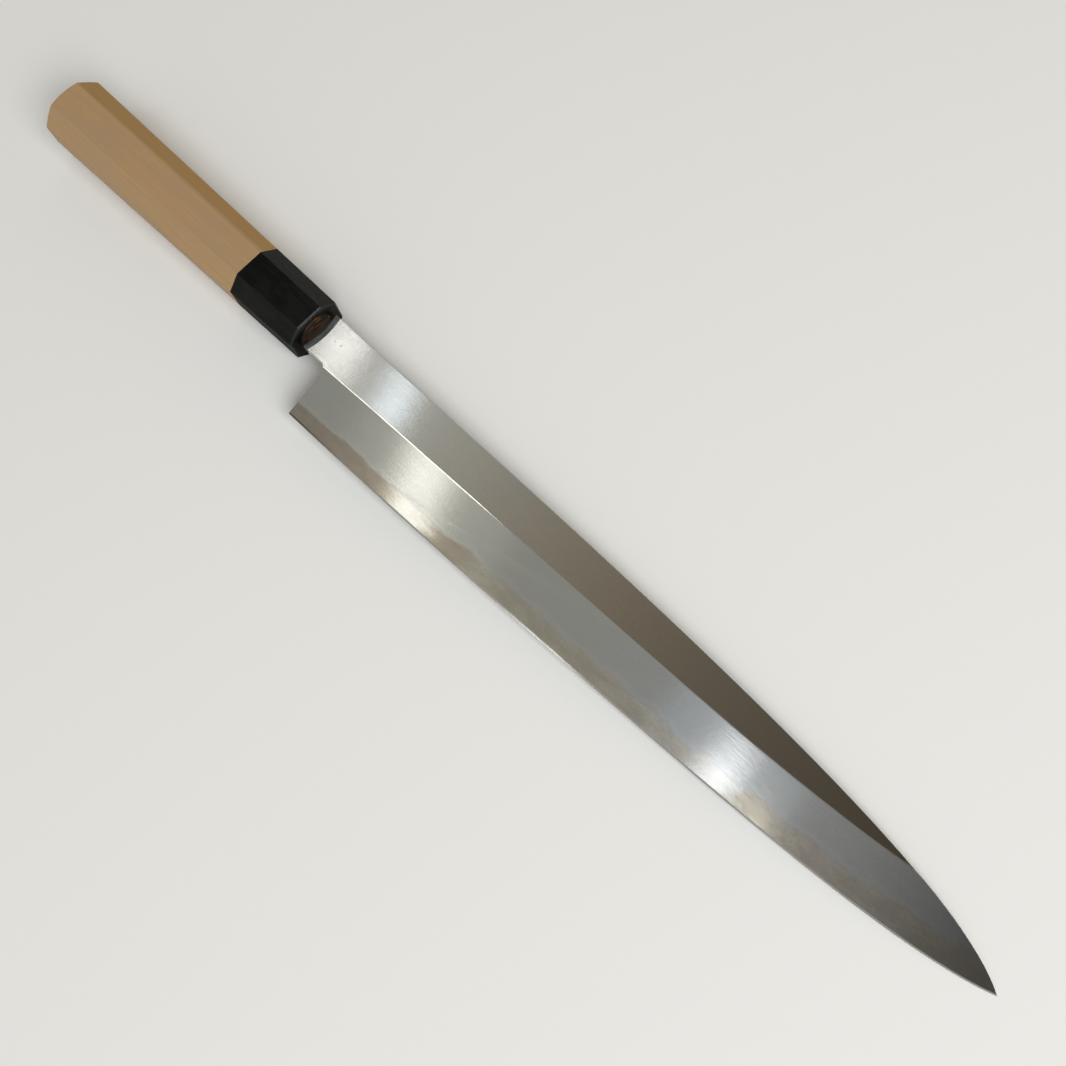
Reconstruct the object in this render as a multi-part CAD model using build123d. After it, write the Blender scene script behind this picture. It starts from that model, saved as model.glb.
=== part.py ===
from build123d import *
import math
import os

# A single-bevel slicing knife lying on its side: bevel face up, tip along +X, spine along +Y.
# It is drawn first on its own axes: X is the handle's axis with zero at the end of the polished
# blade, Y points to the spine and Z points out of the bevel face.
# All lengths are in millimetres.

# Blade outline
blade_length = 300.0
blade_height = 36.7
spine_rise = 8.64
neck_height = 16.3
tip_drop = 17.6
heel_setback = 11.1
heel_lean = 0.7
choil_radius = 4.0
ridge_start_drop = 0.73

# Blade section
neck_thickness = 4.1
point_thickness = 2.6
bevel_foot = 0.22
edge_land = 0.06
edge_bevel_angle = 24.0
steel_thickness = 1.2
rim_radius = 0.4

# Hollow in the flat back
hollow_depth = 0.45
hollow_spine_rim = 3.0
hollow_edge_rim = 2.2
hollow_heel_margin = 9.0
hollow_tip_margin = 9.0
hollow_end_length = 26.0
hollow_least_width = 0.8

# Neck and tang
neck_bare_length = 2.2
tang_length = 98.0
tang_point_length = 12.0
tang_root_height = 11.0
tang_end_height = 7.0
tang_tip_height = 3.0
tang_side_step = 0.2
tang_end_thickness = 2.4
tang_tip_thickness = 1.4
tang_root_radius = 0.8
tang_slot_clearance = 0.1
tang_end_clearance = 0.5

# Handle, wood and horn together
handle_length = 147.5
butt_height = 26.6
front_height = 22.1
butt_thickness = 21.5
front_thickness = 19.6
butt_chamfer = 6.8
front_chamfer = 5.6
chamfer_slope_share = 0.87
butt_dome_radius = 30.0
wood_edge_radius = 0.8
machi_gap = 4.0

# Horn ferrule and the wooden tenon inside it
ferrule_length = 33.1
ferrule_front_chamfer = 0.5
tenon_radius = 7.0
tenon_clearance = 0.05
tenon_recess = 0.15

# A face stands upright when its normal leans out of the level by less than this share
wall_tilt_share = 0.5

# How far a cutting solid runs past what it cuts
overrun = 5.0

# How many times a line's span is halved to find the point at a station
line_halvings = 40

# The blade's long lines: each point is a share of the blade's length along X, and a share of
# the blade's height below the spine's line at the neck. They are the poles of smooth curves.
spine_shares = ((0.0, 0.0), (0.55, -0.019), (0.912, 0.007))
edge_shares = ((0.0, 1.0), (0.283, 1.005), (0.633, 0.849), (0.887, 0.834))
ridge_shares = ((0.283, 0.383), (0.633, 0.366), (0.87, 0.377), (0.98, -0.056))

# How far the bevel's surface is carried below the edge and above the ridge
bevel_reach_shares = (0.12, 0.8)

# How full the hollow still is at its very ends
hollow_end_share = 0.05

# Stations of the hollow's cross-sections, along the hollow
hollow_station_shares = (0.0, 0.012, 0.035, 0.08, 0.2, 0.35, 0.5, 0.65, 0.8, 0.92, 0.975, 1.0)

# Places that follow from the sizes above
back_z = -neck_thickness / 2
neck_low_y = spine_rise - neck_height
neck_mid_y = spine_rise - neck_height / 2
tip_y = spine_rise - tip_drop
front_x = -machi_gap
joint_x = front_x - ferrule_length
butt_x = front_x - handle_length
shoulder_x = -neck_bare_length
tang_root_thickness = neck_thickness - 2 * tang_side_step


def blade_pole(shares, z=0.0):
    """One pole of a long line, from its shares of the blade's length and height."""
    return Vector(shares[0] * blade_length, spine_rise - shares[1] * blade_height, z)


def tip_point(z=0.0):
    """The blade's tip."""
    return Vector(blade_length, tip_y, z)


def flat_z(x):
    """Height of the flat upper face at the station x."""
    return back_z + neck_thickness - (neck_thickness - point_thickness) * x / blade_length


def spine_line():
    """The spine, from the neck to the tip."""
    return Bezier(*[blade_pole(shares, back_z) for shares in spine_shares], tip_point(back_z))


def edge_poles(z):
    """Poles of the cutting edge, from below the neck to the tip."""
    return [blade_pole(shares, z) for shares in edge_shares] + [tip_point(z)]


def ridge_poles():
    """Poles of the line where the flat face meets the bevel. It starts in the choil's corner
    and is carried on past the spine."""
    start = Vector(0, neck_low_y - ridge_start_drop, flat_z(0))
    return [start] + [blade_pole(shares, flat_z(shares[0] * blade_length)) for shares in ridge_shares]


def choil_notch():
    """What is cut away below the neck, in front of the heel: a flat top, a round corner
    and a leaning front."""
    heel_y = spine_rise - blade_height
    top_x = heel_setback - heel_lean
    low_y = heel_y - overrun
    low_x = top_x + heel_lean * (neck_low_y - low_y) / (neck_low_y - heel_y)
    corners = Polyline(
        (shoulder_x - overrun, neck_low_y, back_z - overrun),
        (top_x, neck_low_y, back_z - overrun),
        (low_x, low_y, back_z - overrun),
        (shoulder_x - overrun, low_y, back_z - overrun),
        close=True,
    )
    profile = make_face(corners)
    inner_corner = profile.vertices().sort_by_distance((top_x, neck_low_y, back_z - overrun))[0]
    profile = fillet(inner_corner, choil_radius)
    return extrude(profile, neck_thickness + 2 * overrun, dir=(0, 0, 1))


def flat_taper():
    """What is cut away above the flat face, which thins steadily towards the tip."""
    top = back_z + neck_thickness
    side = spine_rise + overrun
    corners = Polyline(
        (0, side, top),
        (blade_length + overrun, side, flat_z(blade_length + overrun)),
        (blade_length + overrun, side, top + overrun),
        (0, side, top + overrun),
        close=True,
    )
    return extrude(make_face(corners), blade_height + 2 * overrun, dir=(0, -1, 0))


def bevel_cut():
    """What is cut away above the wide bevel, a ruled surface from the edge to the ridge."""
    below, above = bevel_reach_shares
    edge = edge_poles(back_z + bevel_foot)
    ridge = ridge_poles()
    low = Bezier(*[e - (r - e) * below for e, r in zip(edge, ridge)])
    high = Bezier(*[r + (r - e) * above for e, r in zip(edge, ridge)])
    surface = Face.make_surface_from_curves(low, high)
    return Solid.extrude(surface, Vector(0, 0, neck_thickness + overrun))


def edge_bevel_cut():
    """What is cut away above the narrow second bevel along the cutting edge."""
    rise = math.tan(math.radians(edge_bevel_angle))
    step = Vector(0, overrun, overrun * rise)
    edge = edge_poles(back_z + edge_land)
    low = Bezier(*[pole - step for pole in edge])
    high = Bezier(*[pole + step for pole in edge])
    surface = Face.make_surface_from_curves(low, high)
    return Solid.extrude(surface, Vector(0, 0, neck_thickness + overrun))


def line_y(line, x):
    """Y of a long line at the station x, found by halving the line's span."""
    low = 0.0
    high = 1.0
    for _ in range(line_halvings):
        middle = (low + high) / 2
        if line.position_at(middle).X < x:
            low = middle
        else:
            high = middle
    return line.position_at(low).Y


def hollow_section(x, fullness):
    """Cross-section of the back's hollow: a flat arc over a chord in the back's plane."""
    top = line_y(spine_line(), x) - hollow_spine_rim
    bottom = line_y(Bezier(*edge_poles(back_z)), x) + hollow_edge_rim
    centre = (top + bottom) / 2
    half = max(fullness * (top - bottom), hollow_least_width) / 2
    depth = fullness * hollow_depth
    arc = ThreePointArc(
        (x, centre - half, back_z),
        (x, centre, back_z + depth),
        (x, centre + half, back_z),
    )
    sides = Polyline(
        (x, centre + half, back_z),
        (x, centre + half, back_z - overrun),
        (x, centre - half, back_z - overrun),
        (x, centre - half, back_z),
    )
    return make_face([arc, sides])


def back_hollow():
    """The shallow hollow in the flat back, with rounded ends."""
    start = heel_setback + hollow_heel_margin
    end = blade_length - hollow_tip_margin
    sections = []
    for share in hollow_station_shares:
        x = start + (end - start) * share
        near = min((x - start) / hollow_end_length, (end - x) / hollow_end_length, 1.0)
        fullness = max(math.sqrt(1 - (1 - near) ** 2), hollow_end_share)
        sections.append(hollow_section(x, fullness))
    return loft(sections)


def blade_blank():
    """The ground blade with its bare neck, before it is told apart into iron and steel."""
    spine = spine_line()
    edge = Bezier(*edge_poles(back_z))
    neck = Polyline(
        spine.position_at(0),
        (shoulder_x, spine_rise, back_z),
        (shoulder_x, edge.position_at(0).Y, back_z),
        edge.position_at(0),
    )
    plate = extrude(make_face([spine, edge, neck]), neck_thickness, dir=(0, 0, 1))
    return plate - choil_notch() - flat_taper() - bevel_cut() - edge_bevel_cut() - back_hollow()


def steel_region():
    """The room that the steel layer takes: the lowest part of the blade in front of the neck."""
    size = (blade_length + overrun, 2 * blade_height, 2 * steel_thickness)
    room = Box(*size, align=(Align.MIN, Align.CENTER, Align.CENTER))
    return Pos(0, neck_mid_y, back_z) * room


def tang_section(x, height, thickness):
    """One cross-section of the tang, centred on the neck."""
    plane = Plane(origin=(x, neck_mid_y, 0), x_dir=(0, 1, 0), z_dir=(1, 0, 0))
    return plane * Rectangle(height, thickness)


def tang_shape(gap=0.0, end_gap=0.0):
    """The tapering tang, or with gaps the slot burnt out for it."""
    end_x = shoulder_x - tang_length - end_gap
    taper_x = end_x + tang_point_length
    sections = [
        tang_section(shoulder_x, tang_root_height + 2 * gap, tang_root_thickness + 2 * gap),
        tang_section(taper_x, tang_end_height + 2 * gap, tang_end_thickness + 2 * gap),
        tang_section(end_x, tang_tip_height + 2 * gap, tang_tip_thickness + 2 * gap),
    ]
    return loft(sections, ruled=True)


def rim_edges(iron):
    """Rims of the flat face along the spine, the neck and the choil, where fingers touch."""
    ahead = iron.faces().filter_by(lambda face: face.bounding_box().max.X > shoulder_x / 2)
    level = ahead.filter_by(GeomType.PLANE).filter_by(lambda face: face.normal_at().Z > wall_tilt_share)
    walls = ahead.filter_by(lambda face: abs(face.normal_at().Z) < wall_tilt_share)
    wall_edges = walls.edges()
    return [edge for edge in level.edges() if edge in wall_edges]


def make_iron(blank):
    """Soft iron: the upper layer of the blade, the neck and the tang, forged in one piece."""
    iron = blank - steel_region() + tang_shape()
    iron = fillet(rim_edges(iron), rim_radius)
    corners = [
        edge
        for edge in iron.edges().filter_by(Axis.Z)
        if abs(edge.center().X - shoulder_x) < tang_root_radius
        and abs(edge.center().Y - neck_mid_y) < tang_root_height / 2 + tang_root_radius
    ]
    return fillet(corners, tang_root_radius)


def make_steel(blank):
    """Hard steel: the thin lower layer that carries the flat back and the cutting edge."""
    return blank & steel_region()


def octagon_corners(x, inset=0.0):
    """Corners of the handle's cross-section at the station x.
    An inset draws all eight sides in by the same amount."""
    share = (x - butt_x) / handle_length
    height = butt_height + (front_height - butt_height) * share - 2 * inset
    thickness = butt_thickness + (front_thickness - butt_thickness) * share - 2 * inset
    narrowing_share = 1 - (math.hypot(1, chamfer_slope_share) - 1) / chamfer_slope_share
    width = butt_chamfer + (front_chamfer - butt_chamfer) * share - inset * narrowing_share
    depth = width * chamfer_slope_share
    upper = [
        (height / 2, thickness / 2 - depth),
        (height / 2 - width, thickness / 2),
        (width - height / 2, thickness / 2),
        (-height / 2, thickness / 2 - depth),
    ]
    lower = [(-y, -z) for y, z in upper]
    return [(x, y, z) for y, z in upper + lower]


def octagonal_taper(rings):
    """A solid with flat sides between rings of eight corners."""
    faces = [make_face(Polyline(*ring, close=True)).face() for ring in (rings[0], rings[-1])]
    for near, far in zip(rings, rings[1:]):
        for i in range(len(near)):
            side = Polyline(near[i - 1], near[i], far[i], far[i - 1], close=True)
            faces.append(make_face(side).face())
    return Part() + Solid(Shell(faces))


def butt_waste():
    """What is taken off the butt to leave it domed."""
    reach = math.hypot(butt_height, butt_thickness) / 2
    sagitta = butt_dome_radius - math.sqrt(butt_dome_radius**2 - reach**2)
    block = Box(
        sagitta + overrun,
        2 * reach + overrun,
        2 * reach + overrun,
        align=(Align.MIN, Align.CENTER, Align.CENTER),
    )
    ball = Pos(butt_x + butt_dome_radius, 0, 0) * Sphere(butt_dome_radius)
    return Pos(butt_x - overrun, 0, 0) * block - ball


def make_wood():
    """Octagonal wooden handle with a domed butt, and a round tenon that fills the ferrule."""
    body = octagonal_taper([octagon_corners(butt_x), octagon_corners(joint_x)]) - butt_waste()
    joint_face = body.faces().sort_by(Axis.X)[-1]
    body = fillet(body.edges() - joint_face.edges(), wood_edge_radius)
    tenon_length = ferrule_length - tenon_recess
    tenon = Cylinder(tenon_radius, tenon_length, align=(Align.CENTER, Align.CENTER, Align.MIN))
    body += Pos(joint_x, 0, 0) * Rot(0, 90, 0) * tenon
    return body - tang_shape(tang_slot_clearance, tang_end_clearance)


def make_ferrule():
    """Horn ferrule: it carries the handle's taper on, and its bore holds the wooden tenon."""
    rings = [
        octagon_corners(joint_x),
        octagon_corners(front_x - ferrule_front_chamfer),
        octagon_corners(front_x, ferrule_front_chamfer),
    ]
    body = octagonal_taper(rings)
    bore = Cylinder(tenon_radius + tenon_clearance, ferrule_length + 2 * overrun)
    return body - Pos((joint_x + front_x) / 2, 0, 0) * Rot(0, 90, 0) * bore


def rest_pose(pieces):
    """Lay the knife down: the ferrule's lower front edge and the tip touch the surface."""
    ferrule_foot_x = front_x - ferrule_front_chamfer
    drop = back_z + front_thickness / 2
    lean = math.degrees(math.atan2(drop, blade_length - ferrule_foot_x))
    leaning = {name: Rot(0, lean, 0) * piece for name, piece in pieces.items()}
    box = Compound(children=[Part() + piece for piece in leaning.values()]).bounding_box()
    shift = Pos(-box.center().X, -box.center().Y, -box.min.Z)
    print("lean in degrees:", lean, "shift in millimetres:", shift.position)
    return {name: shift * piece for name, piece in leaning.items()}


blank = blade_blank()
pieces = rest_pose(
    {
        "soft_iron_body": make_iron(blank),
        "hard_steel_edge": make_steel(blank),
        "horn_ferrule": make_ferrule(),
        "wood_handle": make_wood(),
    }
)
os.makedirs("parts", exist_ok=True)
for name, piece in pieces.items():
    export_step(piece, f"parts/{name}.step")
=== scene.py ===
import math

import bpy
from mathutils import Matrix, Vector

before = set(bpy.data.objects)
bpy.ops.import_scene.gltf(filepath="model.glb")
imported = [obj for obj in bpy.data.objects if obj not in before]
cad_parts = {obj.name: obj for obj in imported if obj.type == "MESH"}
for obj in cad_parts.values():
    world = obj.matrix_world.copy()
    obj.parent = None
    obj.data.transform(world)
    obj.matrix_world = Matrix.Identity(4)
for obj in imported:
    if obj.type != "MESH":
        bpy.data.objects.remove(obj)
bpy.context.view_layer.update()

MM = 0.001

# The knife's own axes: X is the handle's axis with zero at the end of the polished blade, Y points
# to the spine and Z points out of the bevel face. The knife leans down towards its tip.
LEAN = math.radians(1.45795)
KNIFE_ORIGIN = Vector((-74.196, 7.401, 9.686)) * MM

# Sizes of the knife that its surfaces follow, in millimetres
BLADE_LENGTH = 300.0
NECK_THICKNESS = 4.1
POINT_THICKNESS = 2.6
BACK_Z = -NECK_THICKNESS / 2
NECK_HEIGHT = 16.3
NECK_MID_Y = 0.49
STEEL_THICKNESS = 1.2
EDGE_BEVEL_TOP = 0.22
RIDGE_LINE_DROP = 0.05
FERRULE_FRONT_X = -4.0
FERRULE_RIDGE_ROUNDING = 0.45

# The arc at which the polish ends by the neck, in millimetres: where its middle is, and how far
# back its ends are
POLISH_END_X = 1.0
POLISH_END_ARC = 1.1

# How much the flat face comes down per length along the blade
THINNING = (NECK_THICKNESS - POINT_THICKNESS) / BLADE_LENGTH

# The wide bevel's rise per length towards the spine: even, a little steeper by the heel and a
# little flatter by the tip
BEVEL_RISE = 0.150
HEEL_EXTRA_RISE = 0.040
HEEL_EXTRA_REACH = 110.0
TIP_LOST_RISE = 0.045
TIP_LOST_POWER = 6.0

# How the edge and the ridge line turn in along the blade: at the neck, steadily, and by how much
# more and how late towards the tip
EDGE_TURN = {"at_neck": 0.018, "steady": 0.054, "late": 0.286, "power": 9.8}
RIDGE_TURN = {"at_neck": 0.011, "steady": 0.009, "late": 0.312, "power": 6.6}

# How alike the worked-out and the meshed normal are where the first one takes over, as a cosine
LIKENESS_START = 0.9982
LIKENESS_FULL = 0.9994

# Stretches of the hard steel along the blade, in millimetres: where its warm part by the heel turns
# paler, and where each patch of painted highlight starts, is full, starts to end and ends
PALER_STEEL_X = (86.0, 104.0)
HIGHLIGHT_PATCHES_X = ((56.0, 66.0, 75.0, 84.0), (190.0, 199.0, 206.0, 214.0))

# Distances of the blade's bumps, in millimetres: of the rounded ridge line, and of each pattern in
# the order in which they lie on one another
RIDGE_LINE_BUMP = 0.45
BLADE_BUMPS = {"swell": 0.04, "along": 0.0016, "slanted": 0.010, "stone": 0.0055}

# Slant of the brush marks across the blade and of the scuffs on the horn, in degrees
BRUSH_SLANT = -48
SCUFF_SLANT = 35

# Camera, in metres
CAMERA_PLACE = Vector((0.17010, -0.05315, 0.39404))
CAMERA_AIM = Vector((0.03320, 0.00577, 0.01000))
CAMERA_UP = Vector((-0.63415, 0.69777, 0.33312))
CAMERA_LENS = 42.74
CAMERA_SENSOR = 36.0

# Colour of the floor's far part and of what lies behind it
BACKDROP = (0.85, 0.85, 0.84, 1.0)

# Half the floor's width, and how far out it starts to fade and is gone for the camera, in metres
FLOOR_HALF = 6.0
FADE_START = 0.30
FADE_END = 1.10

# Height of the lamps that the blade mirrors, in metres
MIRROR_HEIGHT = 0.81

# The place where two of those lamps light the bevel by the heel
OVER_HEEL = (-0.323, -0.197)


class Nodes:
    """Short calls that build one node tree. A number, colour or socket may be given as an input."""

    def __init__(self, tree):
        self.tree = tree
        tree.nodes.clear()

    def add(self, kind, inputs=None, **settings):
        node = self.tree.nodes.new(kind)
        for name, value in settings.items():
            setattr(node, name, value)
        for name, value in (inputs or {}).items():
            self.feed(node.inputs[name], value)
        return node

    def feed(self, socket, value):
        if isinstance(value, bpy.types.NodeSocket):
            self.tree.links.new(value, socket)
        elif value is not None:
            socket.default_value = value

    def math(self, operation, a, b=None, c=None):
        node = self.add("ShaderNodeMath", operation=operation)
        for socket, value in zip(node.inputs, (a, b, c)):
            self.feed(socket, value)
        return node.outputs[0]

    def ramp(self, value, low, high, out_low=0.0, out_high=1.0):
        """Smooth step of a value from low to high."""
        node = self.add("ShaderNodeMapRange", interpolation_type="SMOOTHSTEP")
        for socket, given in zip(node.inputs, (value, low, high, out_low, out_high)):
            self.feed(socket, given)
        return node.outputs[0]

    def between(self, value, start, full, ending, end):
        """One on a stretch of a value, with a smooth step up to it and down from it."""
        return self.math("MULTIPLY", self.ramp(value, start, full), self.ramp(value, end, ending))

    def mix(self, share, a, b):
        """Mix of two numbers."""
        node = self.add("ShaderNodeMix", data_type="FLOAT")
        for socket, value in zip(node.inputs[:4], (share, None, a, b)):
            self.feed(socket, value)
        return node.outputs[0]

    def tint(self, share, a, b, blend="MIX"):
        """Mix of two colours."""
        node = self.add("ShaderNodeMix", data_type="RGBA", blend_type=blend)
        self.feed(node.inputs[0], share)
        self.feed(node.inputs[6], a)
        self.feed(node.inputs[7], b)
        return node.outputs[2]

    def stretch(self, vector, scale, turn=(0, 0, 0)):
        """A place turned and scaled, for a pattern that is longer one way than another."""
        inputs = {"Vector": vector, "Scale": scale, "Rotation": turn}
        return self.add("ShaderNodeMapping", inputs).outputs[0]

    def noise(self, vector, scale=1.0, detail=2.0, roughness=0.5, distortion=0.0):
        """Soft noise, centred on one half."""
        inputs = {
            "Vector": vector,
            "Scale": scale,
            "Detail": detail,
            "Roughness": roughness,
            "Distortion": distortion,
        }
        return self.add("ShaderNodeTexNoise", inputs).outputs[0]

    def unit(self, vector):
        """A vector brought to length one."""
        return self.add("ShaderNodeVectorMath", {0: vector}, operation="NORMALIZE").outputs[0]

    def bump(self, height, distance, normal=None):
        """A normal tilted by a height pattern. The distance is in millimetres."""
        inputs = {"Strength": 1.0, "Distance": distance * MM, "Height": height, "Normal": normal}
        return self.add("ShaderNodeBump", inputs).outputs[0]


def colour(red, green, blue):
    return (red, green, blue, 1.0)


def new_material(name):
    """A material with its nodes, its surface shader, and the place on the knife in millimetres."""
    material = bpy.data.materials.new(name)
    material.use_nodes = True
    nodes = Nodes(material.node_tree)
    output = nodes.add("ShaderNodeOutputMaterial")
    surface = nodes.add("ShaderNodeBsdfPrincipled")
    nodes.tree.links.new(surface.outputs[0], output.inputs[0])
    place = nodes.add("ShaderNodeTexCoord").outputs["Object"]
    knife = nodes.add(
        "ShaderNodeMapping",
        {"Vector": place, "Location": KNIFE_ORIGIN, "Rotation": (0, LEAN, 0), "Scale": (MM, MM, MM)},
        vector_type="TEXTURE",
    ).outputs[0]
    return material, nodes, surface, knife


def line_turn(n, share, turn):
    """How much a long line of the blade turns in, at a share of the blade's length."""
    steady = n.math("MULTIPLY_ADD", share, turn["steady"], turn["at_neck"])
    return n.math("MULTIPLY_ADD", n.math("POWER", share, turn["power"]), turn["late"], steady)


def bevel_rise(n, x, share):
    """The wide bevel's rise per length towards the spine."""
    heel = n.math("EXPONENT", n.math("MULTIPLY", x, -1 / HEEL_EXTRA_REACH))
    early = n.math("MULTIPLY", heel, HEEL_EXTRA_RISE)
    tip = n.math("POWER", share, TIP_LOST_POWER)
    late = n.math("MULTIPLY_ADD", tip, -TIP_LOST_RISE, BEVEL_RISE)
    return n.math("ADD", early, late)


def bevel_normal(n, x, above_back):
    """The wide bevel's own normal, worked out from its shape, so that its long facets mirror smoothly.
    Where the surface faces elsewhere, its own normal stays."""
    share = n.math("MULTIPLY", x, 1 / BLADE_LENGTH)
    slope = bevel_rise(n, x, share)
    bevel_height = n.math("MULTIPLY_ADD", x, -THINNING, NECK_THICKNESS - EDGE_BEVEL_TOP)
    up_share = n.math("DIVIDE", n.math("SUBTRACT", above_back, EDGE_BEVEL_TOP), bevel_height)
    at_edge = n.math("MULTIPLY", slope, line_turn(n, share, EDGE_TURN))
    at_ridge = n.math("MULTIPLY_ADD", slope, line_turn(n, share, RIDGE_TURN), THINNING)
    forward = n.mix(up_share, at_edge, at_ridge)
    normal_x = n.math("MULTIPLY_ADD", forward, math.cos(LEAN), math.sin(LEAN))
    normal_y = n.math("MULTIPLY", slope, -1.0)
    normal_z = n.math("MULTIPLY_ADD", forward, -math.sin(LEAN), math.cos(LEAN))
    parts = {0: normal_x, 1: normal_y, 2: normal_z}
    worked_out = n.unit(n.add("ShaderNodeCombineXYZ", parts).outputs[0])
    meshed = n.add("ShaderNodeNewGeometry").outputs["Normal"]
    compare = n.add("ShaderNodeVectorMath", {0: worked_out, 1: meshed}, operation="DOT_PRODUCT")
    both = n.add("ShaderNodeMix", data_type="VECTOR")
    n.feed(both.inputs[0], n.ramp(compare.outputs["Value"], LIKENESS_START, LIKENESS_FULL))
    n.feed(both.inputs[4], meshed)
    n.feed(both.inputs[5], worked_out)
    return n.unit(both.outputs[1])


def blade_marks(n, knife):
    """The blade's patterns: brush marks along it and across it, fine grain, stone marks, mist, and
    the slow swell that polishing by hand leaves."""
    slant = (0, 0, math.radians(BRUSH_SLANT))
    return {
        "along": n.noise(n.stretch(knife, (0.05, 3.2, 3.2)), detail=4.0, roughness=0.6),
        "slanted": n.noise(n.stretch(knife, (0.14, 2.4, 0.8), slant), detail=3.0, roughness=0.55),
        "grain": n.noise(knife, 2.6, 3.0, 0.6),
        "stone": n.noise(knife, 1.1, 3.0, 0.65),
        "mist": n.noise(n.stretch(knife, (0.10, 0.22, 0.22)), detail=5.0, roughness=0.62),
        "swell": n.noise(n.stretch(knife, (0.020, 0.035, 0.035)), detail=1.0),
    }


def height_over_border(n, knife, x, above_back):
    """Height over the cloudy border between the iron and the hard steel."""
    wander = n.noise(n.stretch(knife, (0.10, 0.15, 0.15)), detail=4.0, roughness=0.55)
    ragged = n.noise(n.stretch(knife, (0.5, 0.9, 0.9)), detail=4.0, roughness=0.6)
    wave_height = n.ramp(x, 170.0, 240.0, 1.1, 0.7)
    wave = n.math("SUBTRACT", wander, 0.5)
    border = n.math("MULTIPLY_ADD", wave, wave_height, STEEL_THICKNESS - 0.07)
    border = n.math("MULTIPLY_ADD", ragged, 0.16, border)
    return n.math("SUBTRACT", above_back, border)


def steel_tone(n, x, marks):
    """Hard steel: warm by the heel and paler past it, with stone specks, and two lighter patches that are
    painted highlight where the lamps' highlights fall.
    """
    cloud = n.ramp(marks["mist"], 0.35, 0.65)
    warm = n.tint(cloud, colour(0.495, 0.425, 0.365), colour(0.43, 0.365, 0.31))
    paler = n.tint(cloud, colour(0.68, 0.635, 0.55), colour(0.60, 0.55, 0.47))
    steel = n.tint(n.ramp(x, *PALER_STEEL_X), warm, paler)
    specks = n.ramp(marks["stone"], 0.50, 0.75, 0.0, 0.30)
    steel = n.tint(specks, steel, colour(0.40, 0.385, 0.31))
    # Painted highlight: two patches of the steel, where the lamps' highlights fall, are made lighter.
    loose_x = n.math("MULTIPLY_ADD", n.math("SUBTRACT", marks["mist"], 0.5), 22.0, x)
    highlight_patches = [n.between(loose_x, *patch) for patch in HIGHLIGHT_PATCHES_X]
    return n.tint(n.math("MAXIMUM", *highlight_patches), steel, colour(0.72, 0.71, 0.675))


def stain(n, knife, x, above_back, tone):
    """Greenish spots by the neck, and a brown smudge on the tip."""
    spots = n.ramp(n.noise(knife, 0.42, 3.0, 0.7), 0.62, 0.70)
    spots = n.math("MULTIPLY", spots, n.ramp(x, 13.0, 8.0))
    tone = n.tint(n.math("MULTIPLY", spots, 0.6), tone, colour(0.36, 0.37, 0.27))
    smudge = n.math("MULTIPLY", n.ramp(x, 283.0, 296.0), n.ramp(above_back, 0.9, 1.9))
    return n.tint(n.math("MULTIPLY", smudge, 0.55), tone, colour(0.22, 0.17, 0.13))


def bare_neck(n, knife, x, y):
    """The dark bare neck: its tone, where it lies, and where it turns dark warm brown, rough and not
    metallic against the handle.
    """
    neck_off = n.math("DIVIDE", n.math("SUBTRACT", y, NECK_MID_Y), NECK_HEIGHT / 2)
    off_squared = n.math("MULTIPLY", neck_off, neck_off)
    arc = n.math("MULTIPLY_ADD", off_squared, -POLISH_END_ARC, POLISH_END_X)
    past_arc = n.math("SUBTRACT", x, arc)
    smoke = n.noise(n.stretch(knife, (2.6, 0.22, 0.8)), detail=4.0)
    cloud = n.ramp(smoke, 0.3, 0.7)
    oxide = n.tint(cloud, colour(0.040, 0.048, 0.053), colour(0.155, 0.18, 0.195))
    # Painted highlight: the neck's ends towards the spine and the edge are lighter greenish grey.
    ends = n.ramp(n.math("ABSOLUTE", neck_off), 0.80, 1.0, 0.0, 0.6)
    oxide = n.tint(ends, oxide, colour(0.11, 0.12, 0.10))
    oxide = n.tint(n.ramp(past_arc, -0.26, -0.05), oxide, colour(0.02, 0.024, 0.03))
    # Against the handle, the neck turns dark warm brown.
    dark_warm = n.tint(cloud, colour(0.016, 0.009, 0.005), colour(0.045, 0.030, 0.019))
    by_handle = n.ramp(past_arc, -1.9, -2.4)
    return n.tint(by_handle, oxide, dark_warm), n.ramp(past_arc, 0.10, -0.10), by_handle


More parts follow.
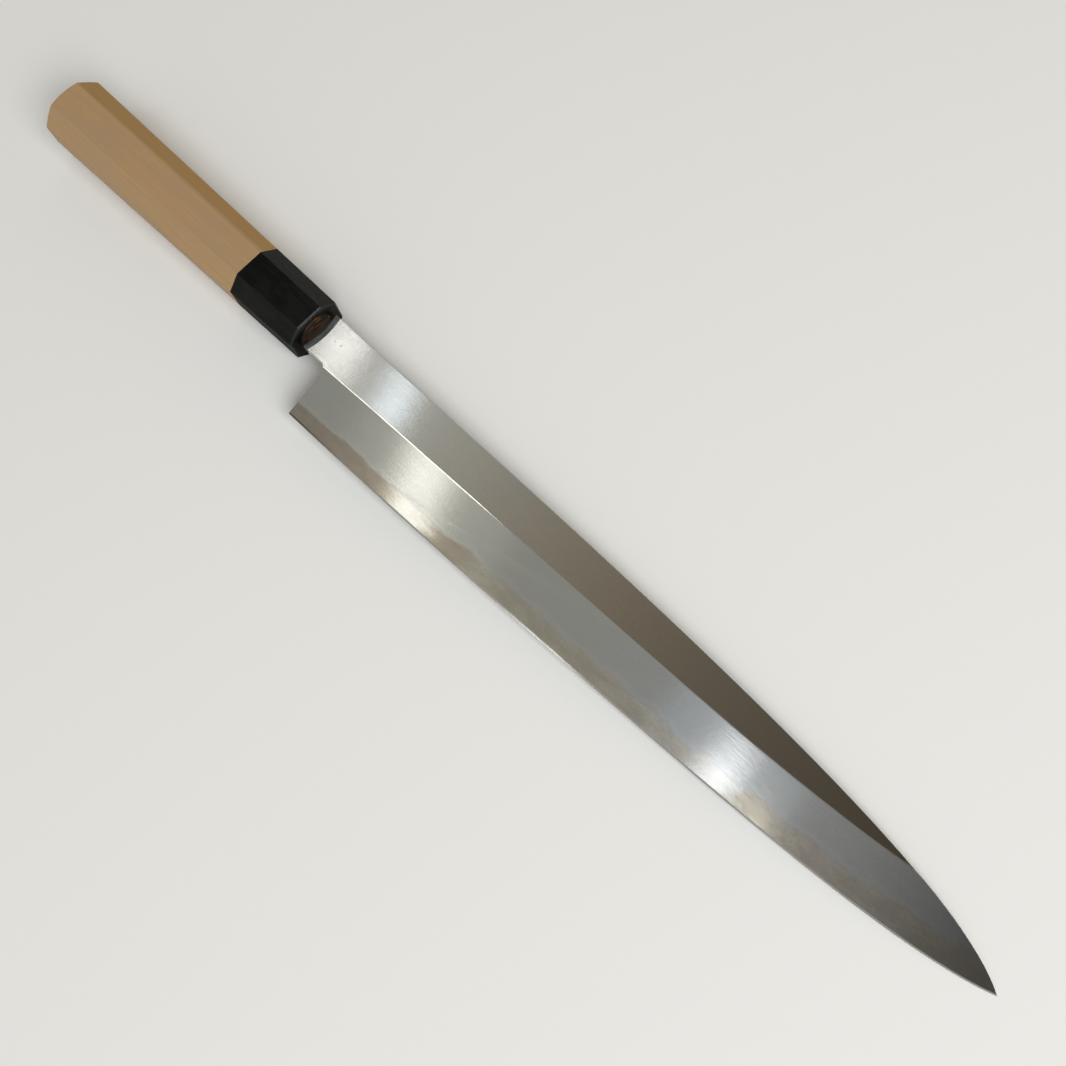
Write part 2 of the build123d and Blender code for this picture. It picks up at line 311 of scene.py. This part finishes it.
def blade_material(name):
    """Polished blade: a bright flat face, a misty bevel, a warmer hard steel band with a cloudy
    border, a thin second bevel along the edge, and a dark bare neck."""
    material, n, surface, knife = new_material(name)
    x, y, z = n.add("ShaderNodeSeparateXYZ", {0: knife}).outputs
    above_back = n.math("SUBTRACT", z, BACK_Z)
    flat = n.math("MULTIPLY_ADD", x, -THINNING, NECK_THICKNESS)
    below_flat = n.math("SUBTRACT", flat, above_back)
    on_bevel = n.ramp(below_flat, 0.004, 0.02)
    on_edge = n.ramp(above_back, EDGE_BEVEL_TOP + 0.02, EDGE_BEVEL_TOP - 0.01)
    over_border = height_over_border(n, knife, x, above_back)
    on_steel = n.ramp(over_border, 0.13, -0.13)
    marks = blade_marks(n, knife)
    neck, bare, by_handle = bare_neck(n, knife, x, y)

    tone = n.tint(on_bevel, colour(0.62, 0.615, 0.60), colour(0.60, 0.605, 0.595))
    line_start = n.ramp(over_border, -0.02, 0.12, 0.0, 0.5)
    border_line = n.math("MULTIPLY", line_start, n.ramp(over_border, 0.45, 0.12))
    tone = n.tint(border_line, tone, colour(0.66, 0.66, 0.65))
    tone = n.tint(on_steel, tone, steel_tone(n, x, marks))
    tone = stain(n, knife, x, above_back, tone)
    tone = n.tint(n.ramp(marks["grain"], 0.35, 0.7, 0.0, 0.20), tone, colour(0.40, 0.395, 0.38))
    tone = n.tint(n.ramp(marks["mist"], 0.3, 0.7, 0.0, 0.10), tone, colour(0.42, 0.43, 0.42))
    tone = n.tint(n.math("MULTIPLY", on_edge, on_bevel), tone, colour(0.55, 0.54, 0.52))
    n.feed(surface.inputs["Base Color"], n.tint(bare, tone, neck))
    n.feed(surface.inputs["Metallic"], n.mix(by_handle, n.mix(bare, 1.0, 0.35), 0.0))

    rough = n.mix(on_bevel, 0.095, 0.106)
    rough = n.mix(n.math("MULTIPLY", on_steel, on_bevel), rough, 0.120)
    rough = n.math("MULTIPLY_ADD", n.math("SUBTRACT", marks["mist"], 0.5), 0.05, rough)
    rough = n.math("MULTIPLY_ADD", n.math("SUBTRACT", marks["grain"], 0.5), 0.03, rough)
    rough = n.mix(bare, rough, n.mix(by_handle, 0.42, 0.65))
    n.feed(surface.inputs["Roughness"], rough)
    surface.inputs["Anisotropic"].default_value = 0.6
    surface.inputs["Anisotropic Rotation"].default_value = 0.25
    tangent = n.add("ShaderNodeTangent", direction_type="RADIAL", axis="Y")
    n.feed(surface.inputs["Tangent"], tangent.outputs[0])

    rounding = n.math("MINIMUM", below_flat, RIDGE_LINE_DROP)
    normal = n.bump(rounding, RIDGE_LINE_BUMP, bevel_normal(n, x, above_back))
    for pattern, depth in BLADE_BUMPS.items():
        normal = n.bump(marks[pattern], depth, normal)
    n.feed(surface.inputs["Normal"], normal)
    return material


def horn_material(name):
    """Buffalo horn: near black, satin, with faint grey clouds and fibres drawn along it, and light
    scuffs. Its ridges and front rim are lighter, which is painted highlight."""
    material, n, surface, knife = new_material(name)
    cloud_place = n.stretch(knife, (0.07, 0.20, 0.20))
    cloud = n.noise(cloud_place, detail=5.0, roughness=0.65, distortion=0.6)
    fibre = n.noise(n.stretch(knife, (0.10, 2.6, 2.6)), detail=3.0)
    slant = (0, 0, math.radians(SCUFF_SLANT))
    scuff = n.noise(n.stretch(knife, (0.25, 1.6, 1.0), slant), detail=6.0, roughness=0.7)
    dark, grey = colour(0.0020, 0.0020, 0.0018), colour(0.0065, 0.0068, 0.0058)
    tone = n.tint(n.ramp(cloud, 0.40, 0.70), dark, grey)
    tone = n.tint(n.ramp(fibre, 0.5, 0.8, 0.0, 0.30), tone, colour(0.010, 0.010, 0.009))
    tone = n.tint(n.ramp(scuff, 0.66, 0.78, 0.0, 0.35), tone, colour(0.035, 0.036, 0.033))
    facing = n.add("ShaderNodeNewGeometry").outputs["Normal"]
    facing_x, facing_y, facing_z = n.add("ShaderNodeSeparateXYZ", {0: facing}).outputs
    squareness = n.math("MAXIMUM", n.math("ABSOLUTE", facing_y), n.math("ABSOLUTE", facing_z))
    # Painted highlight: the ridges between the facets are lighter.
    ridges = n.between(squareness, 0.73, 0.80, 0.96, 0.99)
    tone = n.tint(n.math("MULTIPLY", ridges, 0.6), tone, colour(0.020, 0.021, 0.018))
    # Painted highlight: the rim of the front face is lighter.
    front_rim_highlight = n.between(facing_x, 0.15, 0.45, 0.85, 0.98)
    tone = n.tint(n.math("MULTIPLY", front_rim_highlight, 0.28), tone, colour(0.050, 0.058, 0.055))
    n.feed(surface.inputs["Base Color"], tone)
    satin = n.ramp(cloud, 0.3, 0.7, 0.22, 0.32)
    on_edge_side = n.ramp(facing_y, -0.80, -0.97)
    n.feed(surface.inputs["Roughness"], n.mix(on_edge_side, satin, 0.70))
    surface.inputs["Specular IOR Level"].default_value = 0.12
    n.feed(surface.inputs["Normal"], n.bump(fibre, 0.006))
    return material


def wood_material(name):
    """Bare magnolia wood: pale tan with very fine grain along the handle, and painted shade that makes
    the spine's side darker and more golden; the tenon's end turns dark brown to black."""
    material, n, surface, knife = new_material(name)
    x, y = n.add("ShaderNodeSeparateXYZ", {0: knife}).outputs[:2]
    fibre = n.noise(n.stretch(knife, (0.055, 4.2, 4.2)), detail=5.0, roughness=0.6)
    streak = n.noise(n.stretch(knife, (0.018, 0.75, 0.75)), detail=4.0, roughness=0.55)
    patch = n.noise(n.stretch(knife, (0.045, 0.10, 0.10)), detail=3.0, roughness=0.55)
    pores = n.noise(n.stretch(knife, (0.45, 6.5, 6.5)), detail=2.0)
    tan, light_tan = colour(0.375, 0.235, 0.115), colour(0.41, 0.258, 0.125)
    tone = n.tint(n.ramp(streak, 0.3, 0.7), tan, light_tan)
    tone = n.tint(n.ramp(patch, 0.35, 0.7, 0.0, 0.60), tone, colour(0.355, 0.245, 0.138))
    tone = n.tint(n.ramp(fibre, 0.45, 0.75, 0.0, 0.13), tone, colour(0.25, 0.155, 0.078))
    tone = n.tint(n.ramp(pores, 0.62, 0.75, 0.0, 0.16), tone, colour(0.17, 0.10, 0.05))
    # Painted shade: the spine's side of the handle is darker and more golden.
    on_spine_side = n.ramp(y, 6.4, 7.2, 0.0, 0.85)
    tone = n.tint(on_spine_side, tone, colour(0.33, 0.188, 0.050))
    # The tenon's end turns dark brown to black in streaks.
    end_streaks = n.noise(n.stretch(knife, (1.0, 0.18, 0.9)), detail=4.0)
    brown, black = colour(0.11, 0.036, 0.007), colour(0.010, 0.006, 0.003)
    dark_end_tone = n.tint(n.ramp(end_streaks, 0.38, 0.48), brown, black)
    tone = n.tint(n.ramp(x, FERRULE_FRONT_X - 6.0, FERRULE_FRONT_X - 2.0), tone, dark_end_tone)
    n.feed(surface.inputs["Base Color"], tone)
    n.feed(surface.inputs["Roughness"], n.ramp(fibre, 0.3, 0.7, 0.50, 0.64))
    surface.inputs["Specular IOR Level"].default_value = 0.35
    n.feed(surface.inputs["Normal"], n.bump(fibre, 0.015))
    return material


def dress(node, material):
    """Give a CAD node its material."""
    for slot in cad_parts[node].material_slots:
        slot.material = material


def soften_ridges(node, width):
    """Round a CAD node's sharp ridges a little, as hand sanding leaves them."""
    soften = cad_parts[node].modifiers.new("sanded_ridges", "BEVEL")
    soften.width = width
    soften.segments = 3
    soften.limit_method = "ANGLE"
    soften.angle_limit = math.radians(30)
    soften.harden_normals = True


def floor_material(name):
    """Pale paint, which fades into the backdrop far out, for the camera alone."""
    material = bpy.data.materials.new(name)
    material.use_nodes = True
    n = Nodes(material.node_tree)
    output = n.add("ShaderNodeOutputMaterial")
    paint = n.add("ShaderNodeBsdfPrincipled")
    paint.inputs["Base Color"].default_value = colour(0.80, 0.80, 0.79)
    paint.inputs["Roughness"].default_value = 0.9
    paint.inputs["Specular IOR Level"].default_value = 0.2
    backdrop = n.add("ShaderNodeEmission", {"Color": BACKDROP})
    place = n.add("ShaderNodeTexCoord").outputs["Object"]
    away = n.add("ShaderNodeVectorMath", {0: place}, operation="LENGTH").outputs["Value"]
    seen = n.add("ShaderNodeLightPath").outputs["Is Camera Ray"]
    gone = n.math("MULTIPLY", n.ramp(away, FADE_START, FADE_END), seen)
    shown = n.add("ShaderNodeMixShader", {0: gone, 1: paint.outputs[0], 2: backdrop.outputs[0]})
    n.tree.links.new(shown.outputs[0], output.inputs["Surface"])
    return material


def make_floor():
    """Plain pale floor, which keeps the knife's shadow."""
    near, far = -FLOOR_HALF, FLOOR_HALF
    mesh = bpy.data.meshes.new("floor")
    mesh.from_pydata([(near, near, 0), (far, near, 0), (far, far, 0), (near, far, 0)], [], [(0, 1, 2, 3)])
    floor = bpy.data.objects.new("floor", mesh)
    bpy.context.scene.collection.objects.link(floor)
    mesh.materials.append(floor_material("floor_paint"))


def soft_box(name, place, aim, size, brightness, tint=(1.0, 1.0, 1.0), turn=0.0):
    """A rectangular studio lamp of an even brightness, in metres. A turn is in degrees."""
    light = bpy.data.lights.new(name, "AREA")
    light.shape = "RECTANGLE"
    light.size, light.size_y = size
    light.energy = brightness * math.pi * size[0] * size[1]
    light.color = tint
    lamp = bpy.data.objects.new(name, light)
    bpy.context.scene.collection.objects.link(lamp)
    facing = (Vector(place) - Vector(aim)).to_track_quat("Z", "Y").to_matrix().to_4x4()
    lamp.matrix_world = Matrix.Translation(place) @ facing @ Matrix.Rotation(math.radians(turn), 4, "Z")


def over(name, middle, size, brightness, tint=(1.0, 1.0, 1.0), turn=0.0, rise=0.0):
    """A lamp that faces down from the height where the blade mirrors it. Its X side runs along the
    knife before it is turned. A rise keeps a wide lamp above a small one in front of it."""
    place = (middle[0], middle[1], MIRROR_HEIGHT + rise)
    below = (middle[0], middle[1], 0.0)
    soft_box(name, place, below, size, brightness, tint, turn)


def make_world():
    """A soft room, as the blade mirrors it: brighter on the handle's side, dark over the tip, and
    lighter on the edge's side than on the spine's. The camera sees the backdrop instead."""
    world = bpy.data.worlds.new("room")
    bpy.context.scene.world = world
    world.use_nodes = True
    n = Nodes(world.node_tree)
    output = n.add("ShaderNodeOutputWorld")
    toward = n.add("ShaderNodeTexCoord").outputs["Generated"]
    x, y, z = n.add("ShaderNodeSeparateXYZ", {0: toward}).outputs
    upward = n.math("MAXIMUM", z, 0.25)
    along = n.math("DIVIDE", x, upward)
    across = n.math("DIVIDE", y, upward)
    growth = n.math("EXPONENT", n.math("MULTIPLY_ADD", along, -3.8, -2.33))
    spine_side = n.math("MINIMUM", growth, 0.52)
    edge_side = n.ramp(along, 0.0, 0.27, 0.37, 0.085)
    on_spine_side = n.ramp(across, -0.05, 0.08)
    level = n.mix(on_spine_side, edge_side, spine_side)
    level = n.mix(n.ramp(across, -0.45, -0.65), level, 0.50)
    level = n.math("MULTIPLY", level, n.ramp(along, -0.70, -0.61, 0.06, 1.0))
    level = n.mix(n.ramp(z, 0.62, 0.42), level, 0.55)
    neutral = n.tint(n.ramp(along, -0.25, -0.05), colour(1.0, 1.0, 0.90), colour(1.0, 1.0, 0.99))
    warm = n.math("MULTIPLY", n.ramp(along, -0.48, -0.14), on_spine_side)
    shade = n.tint(warm, neutral, colour(1.20, 1.0, 0.74))
    light = n.tint(1.0, shade, level, "MULTIPLY")
    seen = n.add("ShaderNodeLightPath").outputs["Is Camera Ray"]
    shown = n.tint(seen, light, BACKDROP)
    background = n.add("ShaderNodeBackground", {"Color": shown, "Strength": 1.0})
    n.tree.links.new(background.outputs[0], output.inputs[0])


def make_camera():
    """Camera at the photograph's viewing angle."""
    data = bpy.data.cameras.new("camera")
    data.lens = CAMERA_LENS
    data.sensor_width = CAMERA_SENSOR
    camera = bpy.data.objects.new("camera", data)
    bpy.context.scene.collection.objects.link(camera)
    back = (CAMERA_PLACE - CAMERA_AIM).normalized()
    right = CAMERA_UP.cross(back).normalized()
    axes = Matrix((right, back.cross(right), back)).transposed().to_4x4()
    camera.matrix_world = Matrix.Translation(CAMERA_PLACE) @ axes
    bpy.context.scene.camera = camera


def light_room():
    """Plain soft lamps that light the whole knife."""
    soft_box("key", (1.70, -0.30, 1.45), (0, 0, 0), (1.4, 1.4), 7.2)
    soft_box("rim_light", (-0.66, 0.66, 0.80), (-0.04, 0.02, 0), (0.16, 0.16), 3.0)
    soft_box("edge_light", (-0.157, -0.714, 0.80), (0.08, -0.01, 0), (0.10, 0.08), 1.5)
    soft_box("horn_light", (-0.76, -0.50, 0.81), (-0.10, 0.0, 0.02), (0.22, 0.12), 8.0)
    soft_box("front_light", (1.10, 0.17, 0.87), (-0.08, 0.0, 0.02), (0.25, 0.25), 6.0, (0.93, 1.0, 0.98))


def light_blade():
    """Small lamps high up, where the blade mirrors them."""
    over("over_neck", (-0.491, 0.132), (0.047, 0.085), 1.25, (1.0, 1.0, 0.99), turn=20)
    over("over_flat", (-0.406, 0.128), (0.036, 0.090), 1.36, (0.80, 0.90, 1.0), turn=20)
    over("over_heel", OVER_HEEL, (0.056, 0.200), 1.02, turn=11)
    over("heel_fringe", OVER_HEEL, (0.088, 0.200), 0.20, (1.0, 0.93, 0.55), turn=11, rise=0.01)
    over("around_heel", (-0.325, -0.190), (0.220, 0.220), 0.13, (1.0, 0.97, 0.86), rise=0.02)
    over("over_ridge", (-0.384, -0.033), (0.280, 0.050), 3.6, (1.0, 0.96, 0.85))
    over("over_blade", (0.098, -0.180), (0.036, 0.096), 1.7, (0.97, 0.98, 1.0), turn=-6)
    over("haze", (0.096, -0.143), (0.160, 0.160), 0.18, (0.70, 0.86, 1.0), rise=0.02)
    over("glow", (0.154, -0.202), (0.010, 0.024), 14.0, (1.0, 0.95, 0.78))


make_camera()
make_floor()
make_world()
light_room()
light_blade()

dress("soft_iron_body", blade_material("soft_iron"))
dress("hard_steel_edge", blade_material("hard_steel"))
dress("horn_ferrule", horn_material("horn"))
soften_ridges("horn_ferrule", FERRULE_RIDGE_ROUNDING * MM)
dress("wood_handle", wood_material("wood"))

bpy.context.scene.view_settings.view_transform = "Standard"
